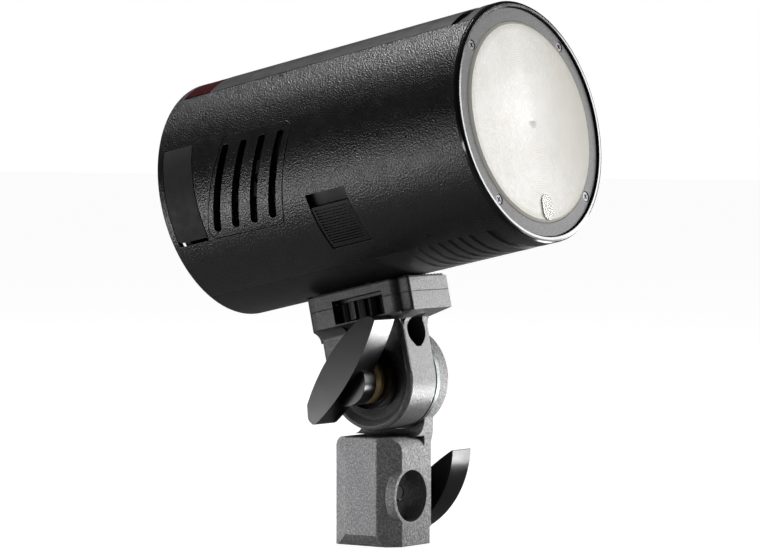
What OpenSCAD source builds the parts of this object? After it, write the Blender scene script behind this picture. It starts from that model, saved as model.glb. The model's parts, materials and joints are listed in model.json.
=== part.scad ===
// Battery monolight strobe: a round flash head on a tilting stand bracket.
// Frame: +Z up, the lens faces -Y, origin at the mouth of the vertical stand socket.
// Head pieces are drawn in the head frame: axis along Y, front rim at y = head_front.
// Bracket pieces above the tilt pivot are drawn about the pivot, before the tilt.

/* [Head] */
// Outer diameter of the round head
head_d = 76; // [74:0.5:78]
// Length of the head shell from the front rim to the rear edge
head_len = 118.5; // [116:0.5:122]
// Wall thickness of the shell panels
wall = 2; // [1.6:0.1:2.4]
// Half angle covered by the top strip and by the bottom strip
strip_half = 32.6; // [30:0.2:35]
// Width of the seam between two shell panels
seam = 0.25; // [0.1:0.05:0.4]
// Radius of the fresnel front lens
lens_r = 31.6; // [30:0.2:32]
// Outer radius of the lens clamp ring
clamp_ring_r = 35.9; // [35:0.1:36.2]

/* [Side panel] */
// Number of slots in the vent grille
vent_slots = 4; // [3:1:5]
// Width of one vent slot
vent_slot_w = 2.8; // [2:0.1:3.4]
// Distance from one vent slot to the next
vent_pitch = 7.4; // [6.5:0.1:8]
// Number of ribs on the power slider
slider_ribs = 13; // [8:1:16]

/* [Bracket] */
// Upward tilt of the head at rest
tilt = 12.27; // [0:0.01:30]
// Height of the tilt pivot above the mouth of the stand socket
pivot_h = 52.4; // [50:0.1:56]
// Radius of the round ends of the yoke and of the lower arm
disc_r = 16; // [15:0.5:18]
// Bore radius of both stand sockets, for a 5/8 inch stud
socket_r = 8.2; // [8.05:0.05:8.4]
// Bore radius of the umbrella shaft hole
umbrella_r = 4.75; // [4.2:0.05:5]
// Radius of the fluted thumbwheel
wheel_r = 13.4; // [13.2:0.1:13.6]
// Number of flutes on the thumbwheel
wheel_flutes = 22; // [16:1:28]

/* [Rear controls] */
// Radius of the setting dial
dial_r = 9.5; // [8:0.5:10]
// Number of grooves around the dial
dial_grooves = 28; // [16:1:36]
// Radius of each push button
button_r = 2.6; // [2.2:0.1:3]

/* [Hidden] */
$fn = 96;
eps = 0.01;

// Colours of the pieces
shell_black = "#1b1b1c";
strip_grey = "#2a2a2c";
cast_grey = "#5d5d60";
lever_black = "#2f2f31";
steel = "#b9bcc0";
board_green = "#1d5a3a";

// Head: radii and stations along its axis
head_r = head_d / 2;
shell_in = head_r - wall;
head_front = -60;
head_rear = head_front + head_len;
bezel_t = 1.4;
shell_front = head_front + bezel_t;
left_a0 = 90 + strip_half;
left_a1 = 270 - strip_half;
seam_deg = seam / head_r * 57.3 / 2;

// Head axis relative to the pivot, in the head's own direction
head_dy = -12.226;
head_dz = 67.547;

// Bracket: the stand socket's axis relative to the pivot
socket_x = 1.2;
socket_y = 1.7;
block_left = -9.75;
block_right = 11.8;
block_front = -10.1;
block_back = 13.5;
block_top = -18;
block_cut = 5.85;
rear_cut = 2.8;
shoulder_r = 4.2;
face_r = 9.3;
arm_right = 12.9;
cross_z = -36.6;
yoke_left = -7.6;
yoke_right = 6.4;
pin_r = 4;
run = 0.06;

// Top plate: heights about the pivot
plate_half_w = 13;
plate_low = 16.4;
under_z = 18.4;
nose_root = -19.5;
edge_r = 1.4;
flare_w = 5.6;
flare_h = 3.6;
recess_x = -5.8;
recess_y1 = 6;
bowl_x = -4.6;
plate_mid = 24.1;
plate_top = 28.6;
pad_top = 29.1;
wheel_y = -4.6;
wheel_z0 = 19.2;
wheel_z1 = 24.8;
window_h = 7.4;
screw_r = 3.175;
umbrella_x = -0.2;
umbrella_z = 12.85;

// Battery bay on the right-hand side of the head
bay_x = 15.3;
bay_z = 20.8;
bay_y = -14;
cell_r = 9.1;
cell_x = 25.6;
cell_z = 9.4;

// Rear panel and controls, in the head frame
panel_y0 = 53.5;
panel_y1 = 55.5;
dial_x = -9;
dial_z = -14;
screen_x = -9;
screen_z = 12;
screw_x = -28;
screw_z = 18;
button_at = [[-24, -9], [-22, -20], [5.5, -9], [5.5, -20]];

// Vent grille, port cover and power switch on the left side, as (y, z)
vent_edge = [[31.3, 15.1], [3.5, 14.7], [14.3, -16.2], [44.3, -15.6]];
vent_top_y = 8.1;
vent_top_z = 12.3;
vent_low_z = -13.9;
vent_slant = 9.5;
port_y0 = 44.5;
port_y1 = 56.1;
port_z0 = -15.7;
port_z1 = 14.85;
notch = 1.3;
jack_y = 48.6;
switch_y0 = -12.2;
switch_y1 = 3;
switch_a0 = 195;
switch_a1 = 225;

// ---------- placing ----------

module bracket() {
    translate([-socket_x, -socket_y, pivot_h])
        children();
}

module tilted() {
    bracket()
        rotate([-tilt, 0, 0])
            children();
}

module head() {
    tilted()
        translate([0, head_dy, head_dz])
            children();
}

// ---------- outlines ----------

function unit(v) = v / norm(v);

// Arc that rounds corner c between its neighbours p and n
function corner_arc(p, c, n, r, steps) =
    let (
        a = unit(p - c),
        b = unit(n - c),
        half = acos(a * b) / 2,
        m = c + unit(a + b) * r / sin(half),
        s = c + a * r / tan(half) - m,
        e = c + b * r / tan(half) - m,
        a0 = atan2(s[1], s[0]),
        turn = (atan2(e[1], e[0]) - a0 + 540) % 360 - 180
    )
    [for (k = [0:steps]) m + r * [cos(a0 + turn * k / steps), sin(a0 + turn * k / steps)]];

// Outline with every corner rounded; r holds one radius per corner
function rounded(pts, r, steps = 5) =
    let (n = len(pts))
    [for (i = [0:n - 1]) each corner_arc(pts[(i + n - 1) % n], pts[i], pts[(i + 1) % n], r[i], steps)];

function same(r, n) = [for (i = [1:n]) r];

// Outline in (y, z) extruded along X from x0 to x1
module along_x(x0, x1) {
    translate([x0, 0, 0])
        rotate([90, 0, 90])
            linear_extrude(x1 - x0)
                children();
}

// Outline in (x, z) extruded along Y from y0 to y1
module along_y(y0, y1) {
    translate([0, y1, 0])
        rotate([90, 0, 0])
            linear_extrude(y1 - y0)
                children();
}

module cyl_x(r, x0, x1, y = 0, z = 0) {
    translate([x0, y, z])
        rotate([0, 90, 0])
            cylinder(r = r, h = x1 - x0);
}

module cyl_y(r, y0, y1, x = 0, z = 0) {
    translate([x, y1, z])
        rotate([90, 0, 0])
            cylinder(r = r, h = y1 - y0);
}

module box(x0, x1, y0, y1, z0, z1) {
    translate([x0, y0, z0])
        cube([x1 - x0, y1 - y0, z1 - z0]);
}

// Ring about the head axis between two radii and two stations
module ring_y(r1, r0, y0, y1) {
    difference() {
        cyl_y(r1, y0, y1);
        cyl_y(r0, y0 - 1, y1 + 1);
    }
}

// Part of such a ring between polar angles a0 and a1, measured from +X towards +Z
module sector_y(r1, r0, y0, y1, a0, a1) {
    rotate([90, 0, 0])
        rotate([0, 0, a0])
            rotate_extrude(angle = a1 - a0)
                translate([r0, -y1])
                    square([r1 - r0, y1 - y0]);
}

// Turned piece about the head axis; the outline is (radius, station)
module turned_y(pts) {
    rotate([90, 0, 0])
        rotate_extrude()
            polygon([for (p = pts) [p[0], -p[1]]]);
}

// Turned piece about the X axis; the outline is (radius, x)
module turned_x(pts) {
    rotate([0, 90, 0])
        rotate_extrude()
            polygon(pts);
}

// Small screw about Y: round head with a cross recess, and a shank behind it
module small_screw(head, shank, head_t, length) {
    difference() {
        union() {
            cyl_y(head, 0, head_t);
            cyl_y(shank, head_t - eps, length);
        }
        for (a = [0, 90])
            rotate([0, a, 0])
                box(-head * 0.6, head * 0.6, -1, head_t * 0.45, -head * 0.13, head * 0.13);
    }
}

// ---------- stand block ----------

function block_plan() = rounded([
    [block_right, block_front], [block_left + block_cut, block_front], [block_left, block_front + block_cut],
    [block_left, block_back - block_cut], [block_left + rear_cut, block_back], [block_right, block_back]],
    [1, 0.8, 0.8, 0.8, 0.8, 1], 3);

// Side outline of the block with its rounded shoulders
function block_side(low) = rounded([
    [block_front - eps, low], [block_back + eps, low], [block_back + eps, block_top], [block_front - eps, block_top]],
    [0.3, 0.3, shoulder_r, shoulder_r], 6);

// Face around the cross socket, drawn out of the slanted front corner
module socket_face() {
    hull() {
        cyl_y(face_r, block_front, block_front + 0.2, socket_x, cross_z);
        cyl_y(face_r + 0.8, block_front + 2.6, block_front + 2.8, socket_x, cross_z);
    }
}

// Arm with its round upper end, drawn from x0 to the outer face
module arm(x0, low) {
    cyl_x(disc_r, x0, arm_right);
    intersection() {
        along_x(x0, arm_right)
            polygon(rounded([[block_front, low + 5], [block_back, low + 5], [block_back, -6], [disc_r, 0],
                [-disc_r, 0], [block_front, -12.5]], [1, 1, 6, 0.5, 0.5, 4], 4));
        along_y(-30, 30)
            polygon([[x0 - 1, low], [block_right, low], [block_right, block_top - 2.5], [arm_right, block_top + 1],
                [arm_right + 1, 1], [x0 - 1, 1]]);
    }
}

module lower_block() {
    low = -pivot_h;
    color(cast_grey)
        bracket()
            difference() {
                union() {
                    difference() {
                        intersection() {
                            translate([0, 0, low])
                                linear_extrude(block_top - low)
                                    polygon(block_plan());
                            along_x(-20, 20)
                                polygon(block_side(low));
                        }
                        // Slopes at the foot and at the shoulder of the left face
                        translate([block_left, 0, low + 3.6])
                            rotate([0, -31, 0])
                                box(-12, 0, -30, 30, -12, 0);
                        translate([block_left, 0, block_top - 0.4])
                            rotate([0, 50, 0])
                                box(-12, 0, -30, 30, 0, 12);
                    }
                    socket_face();
                    arm(8.2, low);
                    // Fillet between the arm and the block's top
                    difference() {
                        box(3.2, 9, block_front, block_back, block_top - eps, block_top + 5);
                        cyl_y(5, -30, 30, 3.2, block_top + 5);
                    }
                    cyl_x(6.5, 10, 15.6, socket_y, cross_z);
                }
                translate([socket_x, socket_y, low - 1])
                    cylinder(r = socket_r, h = 30.4);
                cyl_y(socket_r, block_front - 1, block_back + 1, socket_x, cross_z);
                cyl_x(pin_r, 7, 13);
                cyl_x(7, 9.8, 14);
                // Clearance for the washer
                cyl_x(disc_r + 0.45, 3, 8.2);
                cyl_x(3.06, socket_x, 16, socket_y, cross_z);
            }
}

module pivot_bolt() {
    color(steel)
        bracket()
            union() {
                cyl_x(pin_r, -17.8, 10);
                translate([9.8, 0, 0])
                    rotate([0, 90, 0])
                        cylinder(r = 6.8, h = 2.6, $fn = 6);
            }
}

module friction_washer() {
    color("#a9b8b4")
        bracket()
            difference() {
                cyl_x(disc_r + 0.2, yoke_right + 0.1, 8.2);
                cyl_x(pin_r, 6, 9);
            }
}

// ---------- half-moon levers ----------

// Lever's wing in its own frame: the hub's axis is X, the long end points to +Z, the bulge to +Y
wing_flat = 3.35;
wing_flat_r = 80;
wing_bulge_z = 2.6;
wing_flat_z = 4.5;

// Wing of each lever: reach of its long and short end, height and radius of its bulge
tilt_wing = [24.8, 16.3, 7.1, 64];
clamp_wing = [23, 17.6, 7.4, 31];
tilt_hub_r = 7.6;
clamp_hub_r = 5;

// Trimmed ends of the wing in (y, z), which reach from z = -short to z = long
function wing_ends(long, short) = rounded([
    [-5, long - 9], [-1.6, long - 0.9], [-0.6, long], [1.5, long], [4.7, long - 3.5], [9, long - 12.8],
    [9, 8.3 - short], [5, 3.4 - short], [2.3, -short], [-0.3, -short], [-1.9, 3.1 - short], [-5, 9.3 - short]],
    [1, 0.6, 0.6, 2, 3, 1, 1, 3, 2.2, 1.2, 1.5, 1], 4);

module wing(x0, x1, w) {
    intersection() {
        cyl_x(w[3], x0, x1, w[2] - w[3], wing_bulge_z);
        cyl_x(wing_flat_r, x0, x1, wing_flat_r - wing_flat, wing_flat_z);
        along_x(x0, x1)
            polygon(wing_ends(w[0], w[1]));
    }
}

module tilt_lever() {
    x1 = yoke_left - 6.6;
    x0 = x1 - 10.6;
    color(lever_black)
        bracket()
            rotate([34.4, 0, 0])
                difference() {
                    union() {
                        wing(x0, x1, tilt_wing);
                        cyl_x(tilt_hub_r, x0 + 4.6, x1);
                    }
                    cyl_x(5.6, x0 + 5.6, x1 + 1);
                }
}

module lever_nut() {
    x1 = yoke_left - 0.9;
    color("#b08a3e")
        bracket()
            difference() {
                turned_x([[0, x1], [6.6, x1], [7.3, x1 - 0.9], [7.3, x1 - 2.6], [6.6, x1 - 4], [5.6, x1 - 5.7],
                    [5.6, x1 - 10.4], [0, x1 - 10.4]]);
                cyl_x(pin_r + run, x1 - 9.5, x1 + 1);
            }
}

clamp_out = 23.6;
clamp_turn = 43;

module clamp_pad() {
    color("#101011")
        bracket()
            cyl_x(2.4, socket_x + socket_r + 0.25, socket_x + socket_r + 2.2, socket_y, cross_z);
}

module clamp_screw() {
    x0 = socket_x + socket_r + 2.4;
    color(steel)
        bracket()
            translate([0, socket_y, cross_z])
                union() {
                    cyl_x(3, x0, clamp_out + 8);
                    for (i = [0:6])
                        cyl_x(3.03, x0 + 0.6 + i * 1.25, x0 + 1.1 + i * 1.25);
                }
}

module clamp_lever() {
    x0 = clamp_out;
    x1 = x0 + 10;
    color(lever_black)
        bracket()
            translate([0, socket_y, cross_z])
                rotate([-180 + clamp_turn, 0, 0])
                    difference() {
                        union() {
                            wing(x0, x1, clamp_wing);
                            cyl_x(clamp_hub_r, x0 - 2.4, x0 + 1);
                        }
                        cyl_x(3, x0 - 4, clamp_out + 8);
                    }
}

// ---------- yoke and top plate ----------

nose_half_w = 10.7;

// Plan outline of the top plate in (x, y) with its narrower nose in front
function plate_plan(inset) =
    let (w = plate_half_w - inset, n = nose_half_w - inset, b = 16.6 - inset, f = nose_root + inset,
        g = -23.7 + inset)
    rounded([[w, b], [-w, b], [-w, f], [-n, f], [-n, g], [n, g], [n, f], [w, f]],
        [4.5, 4.5, 1.8, 0.45, 0.9, 0.9, 0.45, 1.8], 4);

module plate_slab(z0, z1, inset = 0) {
    translate([0, 0, z0])
        linear_extrude(z1 - z0)
            polygon(plate_plan(inset));
}

// Room for the thumbwheel, with a window in each side of the plate
module wheel_room() {
    low = wheel_z0 - 0.4;
    translate([0, wheel_y, low])
        cylinder(r = wheel_r + 0.6, h = wheel_z1 - wheel_z0 + 0.8);
    for (side = [-1, 1])
        translate([side * 12, wheel_y, low + window_h / 2])
            cube([5.5, 19.6, window_h], center = true);
}

// Thin copy of the neck's outline, where the plate's underside begins
module neck_slab(z) {
    translate([0, 0, z])
        linear_extrude(eps)
            polygon(neck_plan());
}

function neck_plan() = rounded([
    [yoke_left, -disc_r], [yoke_right, -disc_r], [yoke_right, disc_r], [yoke_left, disc_r]],
    [edge_r, 0.4, 0.4, edge_r], 4);

// Underside of the plate, sloping from its edge down to the neck
module plate_slopes() {
    hull() {
        neck_slab(plate_low);
        intersection() {
            plate_slab(under_z, under_z + 0.2);
            box(-20, 20, nose_root, 20, 0, 30);
        }
    }
    hull() {
        neck_slab(plate_low);
        intersection() {
            plate_slab(under_z, under_z + 0.2);
            box(-20, 20, -30, nose_root, 0, 30);
        }
    }
}

// Filling between the neck's left face and the plate, hollowed out along Y
module left_flare() {
    intersection() {
        plate_slab(plate_low - 3, under_z + eps);
        box(-plate_half_w, yoke_left + eps, -disc_r, disc_r, plate_low - 2, under_z + eps);
    }
}

module flare_hollow(w, y0, y1) {
    translate([yoke_left - flare_w, 0, under_z - flare_h])
        scale([1, 1, flare_h / w])
            cyl_y(w, y0, y1);
}

// Side recess of the yoke: a bowl about the pivot, drawn up to the hollow below the plate
module side_recess() {
    rim = disc_r - edge_r;
    turned_x([[0, yoke_left - 1], [rim, yoke_left - 1], [rim, yoke_left], [12.6, recess_x], [9.3, bowl_x],
        [0, bowl_x]]);
    hull() {
        along_x(yoke_left - eps, yoke_left)
            polygon([[-rim, 0], [rim, 0], [recess_y1, under_z - flare_h], [-rim, under_z - flare_h]]);
        along_x(recess_x - eps, recess_x)
            polygon([[-12.6, 0], [12.6, 0], [recess_y1 - 1, under_z - flare_h], [-12.6, under_z - flare_h]]);
    }
    flare_hollow(recess_x - yoke_left + flare_w, -12.6, recess_y1 - 1);
}

// Umbrella hole with the narrow relief at its foot
module umbrella_cut() {
    cyl_y(umbrella_r, -40, 40, umbrella_x, umbrella_z);
    translate([umbrella_x, 0, umbrella_z])
        along_y(-40, 40)
            polygon([[-3.05, -3.64], [-1.2, -5.19], [1.2, -5.19], [3.05, -3.64]]);
}

module yoke() {
    color(cast_grey)
        tilted()
            difference() {
                union() {
                    turned_x([[0, yoke_left], [disc_r - edge_r, yoke_left], [disc_r - 0.41, yoke_left + 0.41],
                        [disc_r, yoke_left + edge_r], [disc_r, yoke_right], [0, yoke_right]]);
                    linear_extrude(plate_low + 0.2)
                        polygon(neck_plan());
                    plate_slab(under_z, plate_mid);
                    plate_slopes();
                    left_flare();
                    // Fillet below the nose
                    along_x(yoke_left + edge_r, yoke_right)
                        polygon([[-15, 14.4], [-disc_r, 14.4], [-16.3, 15.7], [-17.5, 17], [-15, 17.4]]);
                }
                flare_hollow(flare_w, -40, 40);
                side_recess();
                cyl_x(pin_r + run, -20, 20);
                umbrella_cut();
                // Clearance for the washer and the lower arm's disc
                cyl_x(disc_r + 0.7, yoke_right, 20);
                wheel_room();
                plate_screw_holes(1.3);
            }
}

screw_spots = [[-8.5, 12.4], [8.5, 12.4], [-7.2, -20.4], [7.2, -20.4]];
plate_head_r = 2.2;

module plate_screw_holes(r) {
    for (p = screw_spots)
        translate([p[0], p[1], 18.9])
            cylinder(r = r, h = 20);
}

module top_plate() {
    color(cast_grey)
        tilted()
            difference() {
                plate_slab(plate_mid + 0.12, plate_top);
                wheel_room();
                translate([0, wheel_y, 20])
                    cylinder(r = screw_r + 0.09, h = 20);
                for (p = screw_spots)
                    translate([p[0], p[1], plate_top - 1.7])
                        cylinder(r = plate_head_r + 0.1, h = 3);
                plate_screw_holes(1.5);
            }
}

module plate_pad() {
    color("#151515")
        tilted()
            difference() {
                plate_slab(plate_top, pad_top, 0.7);
                translate([0, wheel_y, 20])
                    cylinder(r = 4.2, h = 20);
            }
}

module plate_screws() {
    color(steel)
        tilted()
            for (p = screw_spots)
                translate([p[0], p[1], 0])
                    difference() {
                        union() {
                            translate([0, 0, plate_top - 1.7])
                                cylinder(r = plate_head_r, h = 1.6);
                            translate([0, 0, 19])
                                cylinder(r = 1.3, h = plate_top - 1.7 - 19 + eps);
                        }
                        translate([0, 0, plate_top - 1.1])
                            cylinder(r = 1.1, h = 3, $fn = 6);
                    }
}

module thrust_ring() {
    x0 = yoke_left - 0.75;
    color("#111111")
        tilted()
            difference() {
                cyl_x(9.2, x0, bowl_x);
                cyl_x(pin_r + run, -20, 20);
            }
}

module thumbwheel() {
    z0 = wheel_z0;
    color(lever_black)
        tilted()
            translate([0, wheel_y, 0])
                difference() {
                    translate([0, 0, z0])
                        cylinder(r = wheel_r, h = wheel_z1 - z0);
                    for (i = [0:wheel_flutes - 1])
                        rotate([0, 0, i * 360 / wheel_flutes])
                            translate([wheel_r + 0.35, 0, z0 - 1])
                                cylinder(r = 1.15, h = 10);
                    translate([0, 0, z0 - 1])
                        cylinder(r = screw_r, h = 10);
                    translate([0, 0, z0 - 1])
                        cylinder(r = 9.5, h = 2.2);
                }
}

module mounting_screw() {
    top = 36.4;
    color(steel)
        tilted()
            translate([0, wheel_y, 0])
                union() {
                    translate([0, 0, wheel_z0 + 0.2])
                        cylinder(r = screw_r, h = top - wheel_z0 - 1);
                    translate([0, 0, wheel_z0 + 0.15])
                        cylinder(r = 6, h = 1);
                    translate([0, 0, top - 0.8 - eps])
                        cylinder(r1 = screw_r, r2 = screw_r - 0.8, h = 0.8);
                }
}

// ---------- head: shell ----------

// Outline of the vent opening in (y, z), grown by g
function vent_outline(g) =
    rounded([vent_edge[0] + [g, g], vent_edge[1] + [-g, g], vent_edge[2] + [-g, -g], vent_edge[3] + [g, -g]],
        same(2.6 + g, 4));

module left_panel_cuts() {
    along_x(-45, -20)
        polygon(vent_outline(0.2));
    along_x(-45, -20)
        polygon(rounded([[port_y0 - 0.25, port_z0], [port_y1 + 0.25, port_z0], [port_y1 + 0.25, port_z1 + 0.25],
            [port_y0 - 0.25, port_z1 + 0.25]], same(0.8, 4), 3));
    sector_y(40, 30, switch_y0, switch_y1, switch_a0, switch_a1);
}

// Rebate behind the front edge of the panels, for the bezel's spigot
rebate_r = 36.75;
rebate_y = -56.5;

module rebate() {
    cyl_y(rebate_r, head_front - 1, rebate_y);
}

module left_shell() {
    color(shell_black)
        head()
            difference() {
                union() {
                    difference() {
                        sector_y(head_r, shell_in, shell_front + 0.1, head_rear, left_a0 + seam_deg, left_a1 - seam_deg);
                        left_panel_cuts();
                        rebate();
                    }
                    // Floor of the port recess, and the boss of the rear screws
                    intersection() {
                        box(-34.2, -33, port_y0 - 1.5, panel_y0 - 0.1, port_z0 - 1, port_z1 - 2.3);
                        cyl_y(shell_in + eps, -10, 60);
                    }
                    sector_y(shell_in + eps, shell_in - 1.6, port_y0 - 1.5, port_y0 - 0.6, 156, 205);
                    for (z = [-screw_z, screw_z])
                        cyl_y(2.5, 45, panel_y0, screw_x, z);
                    intersection() {
                        for (z = [-screw_z, screw_z])
                            box(-40, screw_x, 45, panel_y0, z - 1, z + 1);
                        cyl_y(shell_in + eps, -10, 60);
                    }
                }
                box(-40, -20, jack_y - 1.8, jack_y + 1.8, 0.9, 10.1);
                cyl_x(3.05, -40, -20, jack_y, -7);
                for (z = [-screw_z, screw_z])
                    cyl_y(1.1, 44, 60, screw_x, z);
            }
}

module right_shell() {
    color(shell_black)
        head()
            difference() {
                sector_y(head_r, shell_in, shell_front + 0.1, head_rear, strip_half - 90 + seam_deg,
                    90 - strip_half - seam_deg);
                box(bay_x, 50, bay_y - 0.3, 70, -bay_z - 0.3, bay_z + 0.3);
                rebate();
            }
}

strip_slot_y = -55.2;
window_y = 45.2;

module top_cover() {
    a0 = 90 - strip_half + seam_deg;
    a1 = 90 + strip_half - seam_deg;
    color(strip_grey)
        head()
            difference() {
                union() {
                    sector_y(head_r, shell_in, shell_front + 0.1, window_y, a0, a1);
                    sector_y(head_r, shell_in, window_y + 10.9, head_rear, a0, a1);
                    sector_y(shell_in + 0.6, shell_in, window_y - eps, window_y + 11, a0, a0 + 1.2);
                    sector_y(shell_in + 0.6, shell_in, window_y - eps, window_y + 11, a1 - 1.2, a1);
                }
                sector_y(head_r + 1, head_r - 1.2, strip_slot_y, strip_slot_y + 4.6, a0 - 1, a1 + 1);
                rebate();
            }
}

module sensor_window() {
    a = strip_half - 1.6;
    color("#5a0f12")
        head()
            sector_y(head_r - 0.05, shell_in + 0.2, window_y + 0.05, window_y + 10.8, 90 - a, 90 + a);
}

groove_count = 7;
groove_pitch = 3.98;

module bottom_cover() {
    a0 = 270 - strip_half + seam_deg;
    a1 = 270 + strip_half - seam_deg;
    color(strip_grey)
        head()
            difference() {
                union() {
                    sector_y(head_r, shell_in, shell_front + 0.1, head_rear, a0, a1);
                    // Boss of the threaded insert
                    translate([0, wheel_y - head_dy, -head_r + 1.4])
                        cylinder(r = 8, h = 8.2);
                }
                sector_y(head_r + 1, head_r - 1.2, -53.7, -50.2, a0 - 1, a1 + 1);
                rebate();
                for (i = [0:groove_count - 1])
                    sector_y(head_r + 1, head_r - 1, -45.2 + i * groove_pitch, -43.3 + i * groove_pitch,
                        a0 - 1, a1 + 1);
                translate([0, wheel_y - head_dy, -head_r - 1])
                    cylinder(r = 5, h = 12);
            }
}

module thread_insert() {
    color("#b08a3e")
        head()
            translate([0, wheel_y - head_dy, -head_r + 0.05])
                difference() {
                    cylinder(r = 5, h = 9.3);
                    translate([0, 0, -1])
                        cylinder(r = screw_r + 0.09, h = 9.5);
                }
}

// ---------- head: front ----------

module front_bezel() {
    f = head_front;
    rim = clamp_ring_r + 0.2;
    color("#0d0d0e")
        head()
            turned_y([[rim, f + 0.25], [rim + 0.25, f], [head_r - 0.9, f], [head_r - 0.35, f + 0.18],
                [head_r, f + 0.7], [head_r, f + bezel_t], [rebate_r - 0.1, f + bezel_t], [rebate_r - 0.1, f + 3.4],
                [shell_in - 0.1, f + 3.4], [shell_in - 0.1, f + 5.2], [30.4, f + 5.2], [30.4, f + 4.15],
                [32.85, f + 4.15], [32.85, f + 2.6], [rim, f + 2.6]]);
}

lens_screw_r = 33.75;

module lens_ring() {
    f = head_front + 0.75;
    color("#6a6b6d")
        head()
            difference() {
                ring_y(clamp_ring_r, lens_r + 0.15, f, f + 1.8);
                for (a = [45:90:315])
                    cyl_y(1.65, f - 1, f + 0.85, lens_screw_r * cos(a), lens_screw_r * sin(a));
                for (a = [45:90:315])
                    cyl_y(0.9, f - 1, f + 4, lens_screw_r * cos(a), lens_screw_r * sin(a));
            }
}

module lens_screws() {
    color("#3a3b3d")
        head()
            for (a = [45:90:315])
                translate([lens_screw_r * cos(a), head_front + 0.95, lens_screw_r * sin(a)])
                    rotate([0, a, 0])
                        small_screw(1.5, 0.85, 0.6, 1.55);
}

led_z = -27;
led_w = 2.6;
led_rise = 1.4;

// Upright oval about Y, grown by g
module led_oval(y0, y1, g) {
    for (s = [-1, 1])
        cyl_y(led_w + g, y0, y1, 0, led_z + s * led_rise);
    box(-led_w - g, led_w + g, y0, y1, led_z - led_rise, led_z + led_rise);
}

module front_lens() {
    f = head_front;
    color("#efe9d9")
        head()
            difference() {
                turned_y([[0, f - 0.25], [lens_r * 0.5, f - 0.15], [lens_r - 0.8, f + 0.1], [lens_r, f + 0.6],
                    [lens_r, f + 2.65], [lens_r + 1, f + 2.65], [lens_r + 1, f + 3.4], [30, f + 3.4], [30, f + 1.9],
                    [0, f + 1.9]]);
                led_oval(f - 2, f + 4, 0.1);
            }
}

module lens_gasket() {
    f = head_front + 3.4;
    color("#202020")
        head()
            ring_y(lens_r + 1, 30.6, f, f + 0.7);
}

module led_window() {
    f = head_front;
    color("#d8dccb")
        head()
            led_oval(f - 0.35, f + 3, 0);
}

module modeling_led() {
    y = head_front + 3.3;
    color("#e2c44a")
        head()
            union() {
                box(-3.2, 3.2, y + 0.6, y + 1.6, led_z - 3.2, led_z + 3.2);
                box(-1.6, 1.6, y, y + 0.6 + eps, led_z - 1.6, led_z + 1.6);
            }
}

// ---------- head: inside ----------

module reflector() {
    f = head_front + 5.4;
    steps = 10;
    function dish(s) = 8.5 + 21 * sqrt(s);
    color("#e8e8ea")
        head()
            turned_y(concat(
                [for (i = [0:steps]) [dish(i / steps), f + 20 * (1 - i / steps)]],
                [[32.4, f], [32.4, f + 1]],
                [for (i = [steps:-1:0]) [dish(i / steps) + 1, f + 1 + 20 * (1 - i / steps)]]));
}

module flash_tube() {
    y = head_front + 15;
    color("#f2f0e6")
        head()
            union() {
                translate([0, y, 0])
                    rotate([90, 0, 0])
                        rotate_extrude()
                            translate([6, 0])
                                circle(r = 1.9);
                for (s = [-1, 1])
                    cyl_y(1.5, y, y + 13.3, s * 6, 0);
            }
}

module tube_base() {
    y = head_front + 26.6;
    color("#e9e6dd")
        head()
            difference() {
                cyl_y(12, y, y + 4);
                for (s = [-1, 1])
                    cyl_y(1.5, y - 1, y + 1.7, s * 6, 0);
            }
}

module trigger_coil() {
    color("#8a4b1e")
        head()
            cyl_y(5.5, -29.2, -26.2, 18, 14);
}

module power_board() {
    color(board_green)
        head()
            cyl_y(33, -26, -24.4);
}

module capacitors() {
    color("#23262c")
        head()
            for (z = [-13.2, 13.2])
                turned_can(z);
}

// Electrolytic can about Y with a rolled neck at its front
module turned_can(z) {
    translate([-3, 0, z])
        turned_y([[0, -24.2], [11.2, -24.2], [12.4, -23.2], [12.4, -20.8], [11.7, -20.1], [11.7, -19.3],
            [12.4, -18.6], [12.4, 24.4], [11.6, 25.2], [0, 25.2]]);
}

module main_board() {
    color(board_green)
        head()
            union() {
                box(-19.2, -17.6, -22, 49, -24, 24);
                box(-17.7, -16.2, 30, 40, -6, 6);
                box(-21.2, -19.1, -16, -4, -10, 4);
                box(-22.4, -19.1, -15, -6, 8, 18);
            }
}

module control_board() {
    color(board_green)
        head()
            intersection() {
                cyl_y(30.4, 49.6, 51);
                difference() {
                    box(-40, 13, 40, 60, -40, 40);
                    // Room for the two sockets behind the port cover
                    box(-41, -24.8, 40, 60, -10.5, 10.5);
                }
            }
}

fan_y = 24;
fan_x0 = -31.6;
fan_x1 = -23.6;

module fan_frame() {
    color("#161618")
        head()
            union() {
                difference() {
                    along_x(fan_x0, fan_x1)
                        polygon(rounded([[fan_y - 15, -15], [fan_y + 15, -15], [fan_y + 15, 15], [fan_y - 15, 15]],
                            same(2, 4), 3));
                    cyl_x(14.2, fan_x0 - 1, fan_x1 + 1, fan_y, 0);
                    for (y = [-12.6, 12.6], z = [-12.6, 12.6])
                        cyl_x(1.2, fan_x0 - 1, fan_x1 + 1, fan_y + y, z);
                }
                cyl_x(6, fan_x1 - 1.2, fan_x1, fan_y, 0);
                cyl_x(1.5, fan_x0 + 1.5, fan_x1, fan_y, 0);
                for (a = [45:90:315])
                    translate([fan_x1 - 1.2, fan_y, 0])
                        rotate([a, 0, 0])
                            box(0, 1.2, 5.5, 14.4, -0.9, 0.9);
            }
}

module fan_rotor() {
    color("#202022")
        head()
            translate([0, fan_y, 0])
                difference() {
                    union() {
                        cyl_x(5.8, fan_x0 + 0.6, fan_x1 - 1.6);
                        for (i = [0:6])
                            rotate([i * 360 / 7, 0, 0])
                                translate([(fan_x0 + fan_x1) / 2 - 0.6, 0, 0])
                                    rotate([0, 0, 38])
                                        box(-0.45, 0.45, -3.2, 3.2, 5, 13.4);
                    }
                    cyl_x(1.5 + run, fan_x0 - 1, fan_x1 + 1);
                }
}

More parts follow.
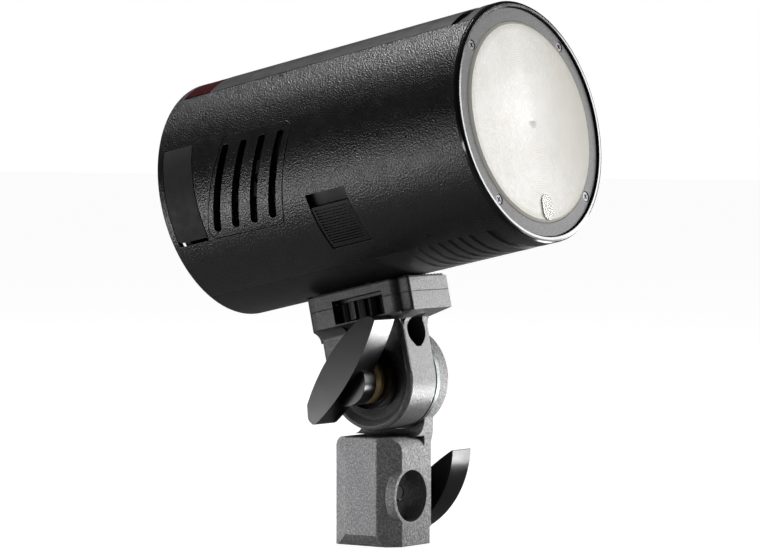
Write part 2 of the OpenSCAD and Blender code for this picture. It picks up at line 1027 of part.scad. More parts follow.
module vent_grille() {
    color(shell_black)
        head()
            difference() {
                intersection() {
                    ring_y(head_r, shell_in, -10, 60);
                    along_x(-45, -20)
                        polygon(vent_outline(0));
                }
                for (i = [0:vent_slots - 1])
                    vent_slot(vent_top_y + i * vent_pitch);
            }
}

// One slanted slot with round ends; y is its upper end's station
module vent_slot(y) {
    w = vent_slot_w / 2;
    along_x(-45, -20)
        polygon(rounded([[y + w, vent_top_z], [y - w, vent_top_z], [y - w + vent_slant, vent_low_z],
            [y + w + vent_slant, vent_low_z]], same(1.15, 4), 4));
}

module port_cover() {
    color("#19191a")
        head()
            difference() {
                union() {
                    intersection() {
                        ring_y(head_r, shell_in + 0.1, -10, 60);
                        along_x(-45, -20)
                            polygon(rounded([[port_y0, port_z0 + notch], [port_y1, port_z0 + notch],
                                [port_y1, port_z1], [port_y0, port_z1]], [0.8, 0.8, 0.6, 0.6], 3));
                    }
                    box(-36.4, -34.4, jack_y - 1.1, jack_y + 1.1, 1.7, 9.3);
                }
                // Finger groove along the lower end
                along_x(-45, -37.1)
                    polygon([[port_y0 - 1, -12.2], [port_y1 + 1, -12.2], [port_y1 + 1, -11.4], [port_y0 - 1, -11.4]]);
            }
}

module usb_port() {
    color(steel)
        head()
            difference() {
                box(-34, -26.5, jack_y - 1.7, jack_y + 1.7, 1, 10);
                box(-35, -28, jack_y - 1.3, jack_y + 1.3, 1.4, 9.6);
            }
}

module sync_jack() {
    color("#2b2b2d")
        head()
            difference() {
                cyl_x(3, -34, -25, jack_y, -7);
                cyl_x(1.3, -35, -26, jack_y, -7);
            }
}

module switch_base() {
    color("#0f0f10")
        head()
            sector_y(35.5, 34, switch_y0 - 2, switch_y1 + 2, switch_a0 - 3, switch_a1 + 2.5);
}

module switch_slider() {
    a0 = switch_a0 + 6.7;
    a1 = switch_a1 - 0.4;
    y0 = switch_y0 + 0.35;
    y1 = switch_y1 - 0.35;
    step = (a1 - a0 - 3) / slider_ribs;
    color("#161617")
        head()
            difference() {
                sector_y(head_r - 0.25, 35.8, y0, y1, a0, a1);
                for (i = [0:slider_ribs - 1])
                    sector_y(head_r + 1, head_r - 0.95, y0 + 0.9, y1 - 0.9, a0 + 1.5 + i * step,
                        a0 + 1.5 + (i + 0.45) * step);
            }
}

// ---------- head: rear ----------

module rear_panel() {
    color("#1d1d1f")
        head()
            difference() {
                intersection() {
                    cyl_y(shell_in - 0.1, panel_y0, panel_y1);
                    box(-40, bay_x - 1.8, 40, 60, -40, 40);
                }
                cyl_y(8.1, 50, 60, dial_x, dial_z);
                box(screen_x - 15, screen_x + 15, 50, 60, screen_z - 10.5, screen_z + 10.5);
                for (p = button_at)
                    cyl_y(button_r + 0.08, 50, 60, p[0], p[1]);
                for (z = [-screw_z, screw_z])
                    cyl_y(1.2, 50, 60, screw_x, z);
                for (z = [-screw_z, screw_z])
                    cyl_y(2.1, 54.6, 60, screw_x, z);
            }
}

module shell_screws() {
    color("#3a3b3d")
        head()
            for (z = [-screw_z, screw_z])
                translate([screw_x, 55.45, z])
                    rotate([0, 0, 180])
                        small_screw(1.9, 1, 0.8, 8);
}

module display_window() {
    color("#0a0d12")
        head()
            along_y(panel_y1 - 1.2, panel_y1 + 0.2)
                polygon(rounded([[screen_x - 14.9, screen_z - 10.4], [screen_x + 14.9, screen_z - 10.4],
                    [screen_x + 14.9, screen_z + 10.4], [screen_x - 14.9, screen_z + 10.4]], same(0.8, 4), 3));
}

module display_module() {
    color("#3c4a44")
        head()
            box(screen_x - 14, screen_x + 14, 51.4, panel_y1 - 1.3, screen_z - 9.6, screen_z + 9.6);
}

module dial_knob() {
    color(lever_black)
        head()
            translate([dial_x, 0, dial_z])
                difference() {
                    union() {
                        cyl_y(8.04, 51.6, 56);
                        turned_y([[0, 55.7], [dial_r, 55.7], [dial_r, 59.2], [dial_r - 0.8, 60], [0, 60]]);
                    }
                    cyl_y(5.8, 50, 61);
                    for (i = [0:dial_grooves - 1])
                        rotate([0, i * 360 / dial_grooves, 0])
                            cyl_y(0.45, 50, 61, dial_r + 0.1, 0);
                }
}

module set_button() {
    color("#3a3b3d")
        head()
            translate([dial_x, 0, dial_z])
                turned_y([[0, 52.2], [5.5, 52.2], [5.5, 59.4], [4.7, 60.2], [0, 60.4]]);
}

module push_button(i) {
    color("#2d2d2f")
        head()
            translate([button_at[i][0], 0, button_at[i][1]])
                turned_y([[0, 52.2], [button_r + 0.7, 52.2], [button_r + 0.7, 52.9], [button_r, 52.9], [button_r, 56.3],
                    [button_r - 0.4, 56.7], [0, 56.7]]);
}

module menu_button() {
    push_button(0);
}

module mode_button() {
    push_button(1);
}

module lamp_button() {
    push_button(2);
}

module test_button() {
    push_button(3);
}

// ---------- battery ----------

module battery_bay() {
    color("#18181a")
        head()
            intersection() {
                cyl_y(shell_in - 0.1, -20, 60);
                difference() {
                    box(bay_x - 1.6, 40, bay_y - 2, panel_y0 + 3, -bay_z - 1.7, bay_z + 1.7);
                    box(bay_x - 0.3, 50, bay_y - 0.8, 70, -bay_z - 0.3, bay_z + 0.3);
                    for (z = [-5, 0, 5])
                        box(18.5, 21.5, bay_y - 3, bay_y, z - 1, z + 1);
                }
            }
}

module battery_contacts() {
    color("#c8a24a")
        head()
            for (z = [-5, 0, 5])
                box(19, 21, bay_y - 4, bay_y - 0.3, z - 0.6, z + 0.6);
}

module battery_case() {
    color("#1f1f21")
        head()
            difference() {
                intersection() {
                    cyl_y(head_r, bay_y + 1.2, head_rear);
                    box(bay_x, 50, bay_y, 70, -bay_z, bay_z);
                }
                for (s = [-1, 1])
                    cyl_y(cell_r + 0.1, bay_y - 1, 52.6, cell_x, s * cell_z);
                // Recess of the release latch
                box(21.8, 32.2, 56.2, 70, -4.2, 4.2);
                // Finger ribs at the rear of the outer face
                for (i = [0:4])
                    sector_y(head_r + 1, head_r - 0.5, 44 + i * 2.4, 45.2 + i * 2.4, -20, 20);
            }
}

module battery_cells() {
    color("#2f6f9f")
        head()
            for (s = [-1, 1])
                cyl_y(cell_r, bay_y + 1.4, 52.4, cell_x, s * cell_z);
}

module battery_terminals() {
    color("#2a2a2c")
        head()
            intersection() {
                cyl_y(head_r, bay_y, bay_y + 1.2);
                box(bay_x, 50, bay_y, bay_y + 1.2, -bay_z, bay_z);
            }
}

module battery_latch() {
    color("#7a1d1d")
        head()
            union() {
                box(24.8, 32, 56.4, 58, -4, 4);
                for (i = [0:2])
                    box(26 + i * 2, 27 + i * 2, 57.9, 59, -3.4, 3.4);
            }
}

lower_block();
pivot_bolt();
friction_washer();
clamp_pad();
clamp_screw();
clamp_lever();
tilt_lever();
lever_nut();
yoke();
top_plate();
plate_pad();
plate_screws();
thrust_ring();
thumbwheel();
mounting_screw();
thread_insert();
left_shell();
right_shell();
top_cover();
bottom_cover();
sensor_window();
front_bezel();
lens_ring();
lens_screws();
front_lens();
lens_gasket();
led_window();
modeling_led();
reflector();
flash_tube();
tube_base();
trigger_coil();
power_board();
capacitors();
main_board();
control_board();
fan_frame();
fan_rotor();
vent_grille();
port_cover();
usb_port();
sync_jack();
switch_base();
switch_slider();
rear_panel();
display_window();
display_module();
dial_knob();
set_button();
menu_button();
mode_button();
lamp_button();
test_button();
battery_bay();
battery_contacts();
battery_case();
battery_cells();
battery_terminals();
battery_latch();
shell_screws();
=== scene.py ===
import json
import math

import bmesh
import bpy
from mathutils import Matrix, Vector


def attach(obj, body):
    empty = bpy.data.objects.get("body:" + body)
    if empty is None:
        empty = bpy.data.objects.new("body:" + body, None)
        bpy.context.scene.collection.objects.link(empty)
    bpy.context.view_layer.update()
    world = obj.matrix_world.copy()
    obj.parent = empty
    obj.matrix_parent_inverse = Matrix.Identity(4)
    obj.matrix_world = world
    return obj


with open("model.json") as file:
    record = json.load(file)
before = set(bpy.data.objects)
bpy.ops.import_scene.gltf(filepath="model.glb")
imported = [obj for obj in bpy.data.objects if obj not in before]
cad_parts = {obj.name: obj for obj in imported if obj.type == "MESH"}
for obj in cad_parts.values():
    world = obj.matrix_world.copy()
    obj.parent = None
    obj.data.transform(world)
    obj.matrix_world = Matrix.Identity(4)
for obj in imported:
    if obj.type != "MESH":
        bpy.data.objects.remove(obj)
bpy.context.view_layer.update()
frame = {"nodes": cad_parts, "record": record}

nodes = frame["nodes"]
MM = 0.001

# ---------- frames ----------
# Tilt pivot of the bracket and the head's axis, in the part's frame
TILT = math.radians(12.27)
PIVOT = Vector((-1.2, -1.7, 52.4)) * MM
HEAD_SHIFT = Vector((0.0, -12.226, 67.547)) * MM
TILTED = Matrix.Translation(PIVOT) @ Matrix.Rotation(-TILT, 4, "X")
HEAD = TILTED @ Matrix.Translation(HEAD_SHIFT)

# ---------- camera ----------
BACK = Vector((-0.80854, -0.58711, 0.03950))
RIGHT = Vector((0.58757, -0.80917, 0.0))
CAMERA_AT = Vector((-1.06256, -0.77110, 0.13702))
SENSOR_WIDTH = 36.0
FOCAL_LENGTH = 197.07
CLIP_START = 0.05
camera_data = bpy.data.cameras.new("camera")
camera_data.sensor_width = SENSOR_WIDTH
camera_data.lens = FOCAL_LENGTH
camera_data.clip_start = CLIP_START
camera = bpy.data.objects.new("camera", camera_data)
up = BACK.normalized().cross(RIGHT.normalized())
axes = Matrix((RIGHT.normalized(), up, BACK.normalized())).transposed().to_4x4()
camera.matrix_world = Matrix.Translation(CAMERA_AT) @ axes
bpy.context.collection.objects.link(camera)
bpy.context.scene.camera = camera


# ---------- material building ----------
BEVEL_SAMPLES = 4
# Painted shade inside bores and slots: occlusion samples, span, near-black colour and reach
PAINTED_SHADE_SAMPLES = 8
PAINTED_SHADE_SPAN = (0.15, 0.5)
PAINTED_SHADE_BLACK = (0.004, 0.004, 0.004, 1.0)
PAINTED_SHADE_REACH = 0.03
WORN_TINT = 2.0


class Nodes:
    """Short calls for a material's node tree."""

    def __init__(self, name):
        self.material = bpy.data.materials.new(name)
        self.material.use_nodes = True
        self.tree = self.material.node_tree
        self.shader = self.tree.nodes["Principled BSDF"]

    def add(self, kind, inputs=(), **settings):
        node = self.tree.nodes.new(kind)
        for key, value in settings.items():
            setattr(node, key, value)
        for key, value in dict(inputs).items():
            self.put(node.inputs[key], value)
        return node

    def put(self, socket, value):
        if isinstance(value, bpy.types.NodeSocket):
            self.tree.links.new(value, socket)
        else:
            socket.default_value = value

    def spot(self):
        """Position on the object in metres, the same for every piece."""
        if not hasattr(self, "place"):
            self.place = self.add("ShaderNodeTexCoord").outputs["Object"]
        return self.place

    def in_frame(self, matrix):
        """Position in another frame than the part's own."""
        inverse = matrix.inverted()
        angle = inverse.to_euler()
        return self.add("ShaderNodeMapping", {
            "Vector": self.spot(), "Location": inverse.to_translation(), "Rotation": angle}).outputs[0]

    def stretched(self, scale):
        inputs = {"Vector": self.spot(), "Scale": scale}
        return self.add("ShaderNodeMapping", inputs).outputs[0]

    def noise(self, size, detail=3.0, roughness=0.55, vector=None, distortion=0.0):
        """Noise from 0 to 1 with grains of the given size in metres."""
        return self.add("ShaderNodeTexNoise", {
            "Vector": vector or self.spot(), "Scale": 1.0 / size, "Detail": detail,
            "Roughness": roughness, "Distortion": distortion}).outputs["Fac"]

    def cells(self, size, feature="F1", randomness=1.0):
        inputs = {"Vector": self.spot(), "Scale": 1.0 / size, "Randomness": randomness}
        return self.add("ShaderNodeTexVoronoi", inputs, feature=feature).outputs["Distance"]

    def span(self, value, low, high, out_low=0.0, out_high=1.0):
        return self.add("ShaderNodeMapRange", {
            "Value": value, "From Min": low, "From Max": high,
            "To Min": out_low, "To Max": out_high}).outputs[0]

    def math(self, operation, a, b=0.0):
        return self.add("ShaderNodeMath", {0: a, 1: b}, operation=operation).outputs[0]

    def blend(self, factor, a, b):
        node = self.add("ShaderNodeMix", data_type="RGBA")
        self.put(node.inputs["Factor"], factor)
        self.put(node.inputs["A"], a)
        self.put(node.inputs["B"], b)
        return node.outputs["Result"]

    def wear(self, radius, low=0.02, high=0.25):
        """1 along the edges, where the rounded normal leaves the true one."""
        soft = self.add("ShaderNodeBevel", {"Radius": radius}, samples=BEVEL_SAMPLES).outputs[0]
        true = self.add("ShaderNodeNewGeometry").outputs["Normal"]
        same = self.add(
            "ShaderNodeVectorMath", {0: soft, 1: true}, operation="DOT_PRODUCT").outputs["Value"]
        return self.span(self.math("SUBTRACT", 1.0, same), low, high)

    def painted_bore_shade(self, colour, reach, dark=0.12):
        """Painted shade: colour that goes dark inside narrow bores and slots, where ambient occlusion
        finds them.
        """
        opening = self.add(
            "ShaderNodeAmbientOcclusion", {"Distance": reach}, samples=PAINTED_SHADE_SAMPLES).outputs["AO"]
        shade = self.blend(1.0 - dark, colour, PAINTED_SHADE_BLACK)
        return self.blend(self.span(opening, *PAINTED_SHADE_SPAN), shade, colour)

    def bump(self, layers, radius=0.0):
        """Bump from (height, strength, depth) layers over edges rounded by radius."""
        normal = None
        if radius:
            normal = self.add("ShaderNodeBevel", {"Radius": radius}, samples=BEVEL_SAMPLES).outputs[0]
        for height, strength, depth in layers:
            inputs = {"Height": height, "Strength": strength, "Distance": depth}
            if normal:
                inputs["Normal"] = normal
            normal = self.add("ShaderNodeBump", inputs).outputs[0]
        self.put(self.shader.inputs["Normal"], normal)

    def set(self, **values):
        for key, value in values.items():
            self.put(self.shader.inputs[key.replace("_", " ")], value)
        return self


def rgb(r, g=None, b=None):
    return (r, r if g is None else g, r if b is None else b, 1.0)


def tinted(n, base, spread, size=0.009, wear_colour=None, edge=0.0003):
    """Base colour that varies over the surface, with lighter worn edges."""
    low = tuple(c * (1 - spread) for c in base[:3]) + (1.0,)
    high = tuple(min(1.0, c * (1 + spread)) for c in base[:3]) + (1.0,)
    colour = n.blend(n.span(n.noise(size, 4.0), 0.3, 0.7), low, high)
    if wear_colour:
        patchy = n.math("MULTIPLY", n.wear(edge), n.span(n.noise(0.0018, 5.0), 0.42, 0.62))
        colour = n.blend(patchy, colour, wear_colour)
    return colour


def shell_plastic(name, base, rough, grain=0.00085, depth=0.00009, strength=0.5):
    """Moulded plastic with a leather grain, lighter between its pebbles."""
    n = Nodes(name)
    pebbles = n.cells(grain, "SMOOTH_F1")
    fine = n.noise(grain * 0.45, 3.0, 0.6)
    colour = tinted(n, base, 0.18, 0.012, rgb(base[0] * 2.6))
    colour = n.blend(n.span(pebbles, 0.15, 0.6), rgb(base[0] * 2.1), colour)
    colour = n.blend(n.span(fine, 0.5, 0.36), colour, rgb(base[0] * 0.3))
    patches = n.noise(0.004, 4.0)
    n.set(Base_Color=colour, Roughness=n.span(patches, 0.25, 0.75, rough - 0.05, rough + 0.07))
    n.set(**{"Specular IOR Level": 0.9})
    n.bump([(pebbles, strength, depth), (fine, strength * 0.5, depth * 0.5)], 0.00025)
    return n.material


def satin_plastic(
        name, base, rough, grain=0.00035, depth=0.00004, strength=0.35, shine=0.5, spread=0.15):
    """Smooth moulded plastic with a faint spark-eroded texture."""
    n = Nodes(name)
    fine = n.noise(grain, 3.0, 0.65)
    n.set(Base_Color=tinted(n, base, spread, 0.01, rgb(base[0] * 2.2, base[1] * 2.2, base[2] * 2.2)))
    n.set(Roughness=n.span(n.noise(0.005, 4.0), 0.25, 0.75, rough - spread * 0.4, rough + spread * 0.5))
    n.set(**{"Specular IOR Level": shine})
    n.bump([(fine, strength, depth)], 0.0002)
    return n.material


def gloss_plastic(name, base, rough=0.12):
    n = Nodes(name)
    smears = n.noise(0.006, 5.0, 0.6, distortion=0.8)
    n.set(Base_Color=tinted(n, base, 0.2, 0.015))
    n.set(Roughness=n.span(smears, 0.3, 0.75, rough, rough + 0.14))
    n.set(**{"Coat Weight": 0.4, "Coat Roughness": 0.06})
    n.bump([(n.noise(0.0025, 3.0), 0.06, 0.00005)], 0.00015)
    return n.material


def painted(name, base, rough, grain, depth, strength, spread=0.22, speck=1.6):
    """Powder-coated casting: sand texture, light crests, dark pits, painted shade in bores, worn edges.
    """
    n = Nodes(name)
    sand = n.noise(grain, 4.0, 0.62)
    lumps = n.cells(grain * 2.2, "SMOOTH_F1")
    colour = tinted(n, base, spread, 0.008, tuple(min(1.0, c * WORN_TINT) for c in base[:3]) + (1.0,))
    crest = tuple(min(1.0, c * speck) for c in base[:3]) + (1.0,)
    pit = tuple(c * 0.62 for c in base[:3]) + (1.0,)
    colour = n.blend(n.span(sand, 0.5, 0.68), colour, crest)
    colour = n.blend(n.span(sand, 0.46, 0.34), colour, pit)
    # Painted shade: the colour goes dark inside bores and slots
    colour = n.painted_bore_shade(colour, PAINTED_SHADE_REACH)
    n.set(Base_Color=colour, Roughness=n.span(sand, 0.3, 0.7, rough + 0.08, rough - 0.06))
    n.bump([(lumps, strength * 0.5, depth), (sand, strength, depth)], 0.0003)
    return n.material


def metal(name, base, rough, stretch=(1.0, 1.0, 1.0), scratch=0.0012, depth=0.00002):
    """Machined metal with brush or turning marks across the stretch."""
    n = Nodes(name)
    lines = n.noise(scratch, 4.0, 0.7, n.stretched(stretch))
    n.set(Base_Color=tinted(n, base, 0.14, 0.005), Metallic=1.0)
    n.set(Roughness=n.span(lines, 0.25, 0.75, max(0.05, rough - 0.08), rough + 0.1))
    n.bump([(lines, 0.3, depth)], 0.00015)
    return n.material


def glass(name, base, rough, clear):
    """Tinted glass or clear plastic, of which the clear share lets light through."""
    n = Nodes(name)
    n.set(Base_Color=tinted(n, base, 0.06, 0.01), IOR=1.5)
    n.set(Roughness=n.span(n.noise(0.004, 4.0), 0.3, 0.7, rough, rough + 0.06))
    n.put(n.shader.inputs["Transmission Weight"], clear)
    n.bump([(n.noise(0.0015, 2.0), 0.05, 0.00003)], 0.00015)
    return n.material


LENS_PITCH = 0.00075
LENS_SPOKES = 180.0
# Painted light: strength of the faint glow the lens gives off though the flash is off
LENS_PAINTED_GLOW = 0.22


def fresnel(name):
    """Cream fresnel lens: concentric steps, a pebbled back, a darker band at its rim, painted shade
    darker to one side and towards the rim, and a faint painted glow.
    """
    n = Nodes(name)
    place = n.in_frame(HEAD)
    split = n.add("ShaderNodeSeparateXYZ", {0: place})
    flat = n.add("ShaderNodeCombineXYZ", {"X": split.outputs["X"], "Y": split.outputs["Z"]}).outputs[0]
    radius = n.add("ShaderNodeVectorMath", {0: flat}, operation="LENGTH").outputs["Value"]
    steps = n.math("FRACT", n.math("DIVIDE", radius, LENS_PITCH))
    around = n.math("ARCTAN2", split.outputs["Z"], split.outputs["X"])
    spokes = n.math("SINE", n.math("MULTIPLY", around, LENS_SPOKES))
    pebble = n.cells(0.0011, "SMOOTH_F1")
    edge = n.span(radius, 0.0285, 0.0316)
    middle = n.blend(n.span(steps, 0.0, 1.0), rgb(0.78, 0.75, 0.68), rgb(0.95, 0.93, 0.89))
    middle = n.blend(n.span(n.noise(0.012, 3.0), 0.35, 0.7), middle, rgb(0.97, 0.96, 0.93))
    # Painted shade: the lens colour darkens towards its local +X side and towards its rim
    depth = n.math("ADD", n.span(split.outputs["X"], -0.002, 0.029), n.span(radius, 0.0, 0.09))
    middle = n.blend(n.math("MULTIPLY", depth, 0.8), middle, rgb(0.42, 0.40, 0.33))
    n.set(Base_Color=n.blend(edge, middle, rgb(0.36, 0.34, 0.26)), IOR=1.49)
    n.set(Roughness=n.span(pebble, 0.0, 0.6, 0.3, 0.44))
    n.put(n.shader.inputs["Transmission Weight"], 0.03)
    # Painted light: the lens glows faintly in its own colour
    n.set(**{"Emission Color": middle, "Emission Strength": LENS_PAINTED_GLOW})
    n.set(**{"Specular IOR Level": 0.3, "Coat Weight": 0.1, "Coat Roughness": 0.2})
    n.bump([(steps, 0.5, 0.00008), (spokes, 0.1, 0.00004), (pebble, 0.1, 0.00004)], 0.0002)
    return n.material


def board(name):
    """Solder mask with copper traces showing through and a fine weave."""
    n = Nodes(name)
    threads = {"Vector": n.spot(), "Scale": 700.0, "Distortion": 0.4}
    weave = n.add("ShaderNodeTexWave", threads).outputs["Fac"]
    traces = n.cells(0.0042, "DISTANCE_TO_EDGE", randomness=0.3)
    lines = n.span(traces, 0.05, 0.09)
    n.set(Base_Color=n.blend(lines, rgb(0.03, 0.16, 0.08), rgb(0.05, 0.24, 0.13)))
    n.set(Roughness=n.span(n.noise(0.002), 0.3, 0.7, 0.3, 0.45))
    n.bump([(lines, 0.3, 0.00004), (weave, 0.08, 0.00002)])
    return n.material


def winding(name):
    n = Nodes(name)
    wire = {"Vector": n.in_frame(HEAD), "Scale": 900.0}
    turns = n.add("ShaderNodeTexWave", wire, bands_direction="Y").outputs["Fac"]
    n.set(Base_Color=n.blend(turns, rgb(0.25, 0.09, 0.03), rgb(0.62, 0.30, 0.12)), Metallic=0.7)
    n.set(Roughness=n.span(turns, 0.0, 1.0, 0.45, 0.25))
    n.bump([(turns, 0.5, 0.00008)])
    return n.material


def rubber(name, base, rough=0.62):
    n = Nodes(name)
    fine = n.noise(0.0004, 3.0, 0.6)
    n.set(Base_Color=tinted(n, base, 0.25, 0.007, rgb(base[0] * 1.9)))
    n.set(Roughness=n.span(n.noise(0.003, 4.0), 0.25, 0.75, rough - 0.08, rough + 0.1))
    n.set(**{"Sheen Weight": 0.15, "Sheen Roughness": 0.5})
    n.bump([(fine, 0.25, 0.00004)], 0.00025)
    return n.material


def phosphor(name):
    n = Nodes(name)
    chip = n.cells(0.0016, "F1")
    n.set(Base_Color=n.blend(n.span(chip, 0.1, 0.6), rgb(0.9, 0.72, 0.16), rgb(0.75, 0.6, 0.2)))
    n.set(Roughness=n.span(chip, 0.0, 1.0, 0.4, 0.6))
    n.bump([(n.noise(0.0003), 0.2, 0.00003)])
    return n.material


def ceramic(name):
    n = Nodes(name)
    n.set(Base_Color=tinted(n, rgb(0.8, 0.78, 0.73), 0.06, 0.004))
    n.set(Roughness=n.span(n.noise(0.002), 0.3, 0.7, 0.5, 0.7))
    n.bump([(n.noise(0.0003, 3.0), 0.25, 0.00004)], 0.0002)
    return n.material


DISPLAY_PITCH = 0.0004


def liquid_panel(name):
    """Reflective display with its fine pixel grid."""
    n = Nodes(name)
    place = n.in_frame(HEAD)
    split = n.add("ShaderNodeSeparateXYZ", {0: place})
    across, along = (
        n.span(n.math("FRACT", n.math("DIVIDE", split.outputs[axis], DISPLAY_PITCH)), 0.8, 0.9)
        for axis in ("X", "Z"))
    grid = n.math("MAXIMUM", across, along)
    n.set(Base_Color=n.blend(grid, tinted(n, rgb(0.20, 0.25, 0.23), 0.1, 0.01), rgb(0.13, 0.16, 0.15)))
    n.set(Roughness=n.span(grid, 0.0, 1.0, 0.25, 0.45))
    n.bump([(grid, 0.1, 0.00001)])
    return n.material


ALONG_X = (0.15, 1.0, 1.0)
LOOKS = {
    "shell_plastic": lambda s: shell_plastic(s, rgb(0.009, 0.009, 0.0094), 0.31, 0.00046, 0.00014, 1.0),
    "strip_plastic": lambda s: satin_plastic(s, rgb(0.03, 0.03, 0.032), 0.42),
    "gloss_black": lambda s: gloss_plastic(s, rgb(0.008)),
    "grey_ring": lambda s: painted(s, rgb(0.13, 0.13, 0.132), 0.5, 0.0004, 0.00005, 0.45, 0.12, 1.25),
    "cast_metal": lambda s: painted(s, rgb(0.105, 0.104, 0.107), 0.36, 0.00045, 0.00012, 0.8),
    # Coarser sand texture than cast_metal, with a lighter base colour that is painted light
    "sand_cast_painted_light": lambda s: painted(s, rgb(0.30, 0.298, 0.304), 0.56, 0.00055, 0.00034, 1.0, 0.12, 2.0),
    "lever_black": lambda s: satin_plastic(
        s, rgb(0.007, 0.007, 0.0072), 0.24, 0.0003, 0.00002, 0.2, 0.2, 0.06),
    "steel": lambda s: metal(s, rgb(0.56, 0.57, 0.59), 0.28, ALONG_X),
    "dark_steel": lambda s: metal(s, rgb(0.09, 0.09, 0.095), 0.36),
    "brass": lambda s: metal(s, rgb(0.80, 0.58, 0.30), 0.42, ALONG_X),
    "washer": lambda s: metal(s, rgb(0.16, 0.175, 0.17), 0.5, ALONG_X),
    "rubber_black": lambda s: rubber(s, rgb(0.02)),
    "nylon": lambda s: satin_plastic(s, rgb(0.05, 0.05, 0.05), 0.5),
    "fresnel_glass": fresnel,
    "clear_glass": lambda s: glass(s, rgb(0.86, 0.90, 0.82), 0.04, 0.85),
    "red_window": lambda s: glass(s, rgb(0.10, 0.004, 0.008), 0.10, 0.25),
    "led_yellow": phosphor,
    "mirror_metal": lambda s: metal(s, rgb(0.82, 0.82, 0.83), 0.14),
    "tube_glass": lambda s: glass(s, rgb(0.92, 0.92, 0.90), 0.03, 0.9),
    "ceramic_white": ceramic,
    "coil_copper": winding,
    "board_green": board,
    "cap_sleeve": lambda s: gloss_plastic(s, rgb(0.02, 0.024, 0.04), 0.2),
    "inner_black": lambda s: satin_plastic(s, rgb(0.022), 0.5),
    "contact_gold": lambda s: metal(s, rgb(0.75, 0.53, 0.2), 0.2),
    "display_glass": lambda s: glass(s, rgb(0.012, 0.014, 0.018), 0.05, 0.35),
    "display_panel": liquid_panel,
    "button_grey": lambda s: rubber(s, rgb(0.06, 0.06, 0.064), 0.55),
    "cell_blue": lambda s: gloss_plastic(s, rgb(0.05, 0.16, 0.32), 0.25),
    "latch_red": lambda s: satin_plastic(s, rgb(0.22, 0.018, 0.018), 0.4),
}
made = {}


def look(slot_name):
    if slot_name not in made:
        made[slot_name] = LOOKS[slot_name](slot_name)
    return made[slot_name]


def dress(obj, slot_name, sharp=32.0):
    obj.data.materials.clear()
    obj.data.materials.append(look(slot_name))
    obj.data.shade_smooth()
    obj.data.set_sharp_from_angle(angle=math.radians(sharp))


# The block has the same cast metal as the yoke, under a coarser paint; its lighter base colour is
# painted light
COARSE_PAINT_AND_PAINTED_LIGHT = {"lower_block": "sand_cast_painted_light"}
for sub in frame["record"]["subparts"]:
    dress(nodes[sub["node"]], COARSE_PAINT_AND_PAINTED_LIGHT.get(sub["node"], sub["material_slot"]))


# ---------- added pieces ----------
def new_piece(name, mesh_from, slot_name, body, matrix=None, sharp=40.0):
    """Object from a bmesh drawn in the frame that matrix gives."""
    mesh = bpy.data.meshes.new(name)
    if matrix:
        mesh_from.transform(matrix)
    mesh_from.to_mesh(mesh)
    mesh_from.free()
    obj = bpy.data.objects.new(name, mesh)
    bpy.context.collection.objects.link(obj)
    dress(obj, slot_name, sharp)
    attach(obj, body)
    return obj


DOT_SIDES = 10
DOT_PITCH = 1.7 * MM
DOT_BASE = 29.0 * MM
# Radius and height of a dot's rings, in millimetres, up to its tip
DOT_RINGS = [(0.62, 0.0), (0.56, 0.2), (0.38, 0.36)]
DOT_TIP = 0.44 * MM
# The pad is a wide part and a narrower tongue in front of it
PAD_WIDE, PAD_WIDE_FRONT, PAD_BACK = 12 * MM, -18.6 * MM, 15.4 * MM
PAD_TONGUE, PAD_FRONT, PAD_TONGUE_BACK = 9.8 * MM, -22.6 * MM, -18 * MM
SCREW_Y, SCREW_CLEAR = -4.6 * MM, 5.2 * MM


def on_pad(x, y):
    """True where a dot fits on the pad, clear of the screw hole."""
    wide = abs(x) < PAD_WIDE and PAD_WIDE_FRONT < y < PAD_BACK
    tongue = abs(x) < PAD_TONGUE and PAD_FRONT < y <= PAD_TONGUE_BACK
    return (wide or tongue) and math.hypot(x, y - SCREW_Y) > SCREW_CLEAR


def add_dot(bm, x, y):
    last = None
    for radius, height in DOT_RINGS:
        ring = []
        for a in range(DOT_SIDES):
            turn = a * math.tau / DOT_SIDES
            ring.append(bm.verts.new((
                x + radius * MM * math.cos(turn), y + radius * MM * math.sin(turn),
                DOT_BASE + height * MM)))
        if last:
            for k in range(DOT_SIDES):
                after = (k + 1) % DOT_SIDES
                bm.faces.new((last[k], last[after], ring[after], ring[k]))
        last = ring
    tip = bm.verts.new((x, y, DOT_BASE + DOT_TIP))
    for k in range(DOT_SIDES):
        bm.faces.new((last[k], last[(k + 1) % DOT_SIDES], tip))


def pad_dots():
    """Grip bumps on the pad between the plate and the head."""
    bm = bmesh.new()
    for i in range(-7, 8):
        for j in range(-14, 10):
            x = (i + 0.5 * (j % 2)) * DOT_PITCH
            y = j * DOT_PITCH
            if on_pad(x, y):
                add_dot(bm, x, y)
    return new_piece("pad_dots", bm, "rubber_black", "head", TILTED, 60.0)


pad_dots()

# ---------- floor and light ----------
AIM = Vector((-0.002, -0.012, 0.085))


FLOOR_SIZE = 6.0
FLOOR_CELLS = 40
FLOOR_DROP = 0.0004
CAMERA_GLOW = 0.96
ROOM_LIGHT = 0.035
BACKDROP = 1.0


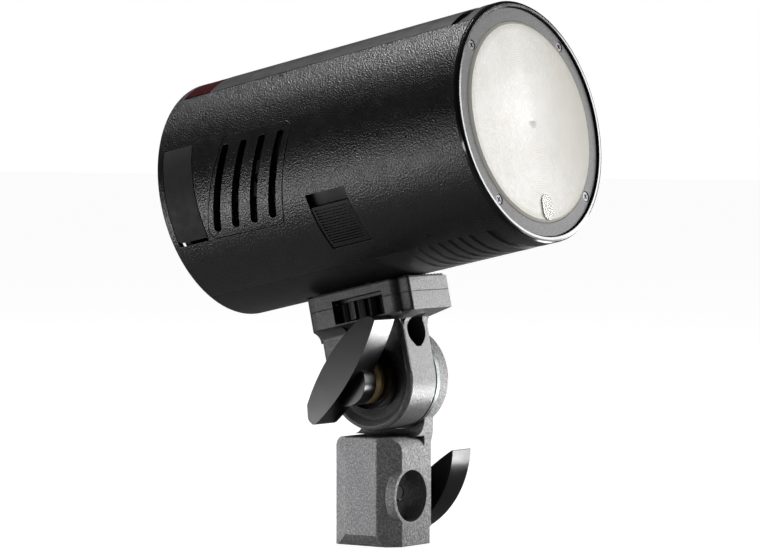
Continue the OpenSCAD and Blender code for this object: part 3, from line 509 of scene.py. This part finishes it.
def floor():
    """Pale floor just under the stand block, seen evenly lit."""
    mesh = bpy.data.meshes.new("floor")
    bm = bmesh.new()
    bmesh.ops.create_grid(bm, x_segments=FLOOR_CELLS, y_segments=FLOOR_CELLS, size=FLOOR_SIZE)
    bm.to_mesh(mesh)
    bm.free()
    obj = bpy.data.objects.new("floor", mesh)
    bpy.context.collection.objects.link(obj)
    obj.location.z = -FLOOR_DROP
    n = Nodes("floor")
    n.set(Base_Color=n.blend(n.noise(0.5), rgb(0.18), rgb(0.2)))
    n.set(Roughness=n.span(n.noise(0.3), 0.3, 0.7, 0.8, 0.9))
    n.set(**{"Specular IOR Level": 0.1, "Emission Color": rgb(1.0)})
    seen = n.add("ShaderNodeLightPath").outputs["Is Camera Ray"]
    n.put(n.shader.inputs["Emission Strength"], n.math("MULTIPLY", seen, CAMERA_GLOW))
    n.bump([(n.noise(0.002), 0.05, 0.0002)])
    obj.data.materials.append(n.material)


def soft_light(name, place, size, power, target=AIM, spread=180.0):
    """Card of light turned to its target. Spread is in degrees."""
    data = bpy.data.lights.new(name, "AREA")
    data.spread = math.radians(spread)
    data.shape = "RECTANGLE"
    data.size, data.size_y = size
    data.energy = power
    obj = bpy.data.objects.new(name, data)
    obj.location = place
    obj.rotation_euler = (Vector(place) - target).to_track_quat("Z", "Y").to_euler()
    obj.visible_camera = False
    bpy.context.collection.objects.link(obj)


floor()
soft_light("key", (0.62, -0.42, 0.16), (0.5, 0.35), 5.3)
# Small cards close to the bracket
NARROW = 60.0
YOKE = Vector((-0.021, -0.015, 0.07))
BLOCK = Vector((-0.01, 0.0, 0.016))
soft_light("low_right", (0.092, -0.075, 0.013), (0.05, 0.03), 0.02, YOKE, NARROW)
soft_light("low_left", (-0.107, 0.069, 0.018), (0.12, 0.036), 0.015, BLOCK, NARROW)
# The long sheen along the shell's left side
SHELL = Vector((0.0, 0.0, 0.10))
soft_light("band_left", (-0.26, 0.17, 0.015), (0.22, 0.05), 0.27, SHELL)
soft_light("top", (0.10, 0.45, 1.05), (0.5, 0.3), 9.0)

world = bpy.data.worlds.new("studio")
bpy.context.scene.world = world
world.use_nodes = True
sky = world.node_tree
back = sky.nodes["Background"]
back.inputs["Color"].default_value = (1.0, 1.0, 1.0, 1.0)
rays = sky.nodes.new("ShaderNodeLightPath")
amount = sky.nodes.new("ShaderNodeMapRange")
amount.inputs["To Min"].default_value = ROOM_LIGHT
amount.inputs["To Max"].default_value = BACKDROP
sky.links.new(rays.outputs["Is Camera Ray"], amount.inputs["Value"])
sky.links.new(amount.outputs[0], back.inputs["Strength"])
bpy.context.scene.view_settings.view_transform = "Standard"
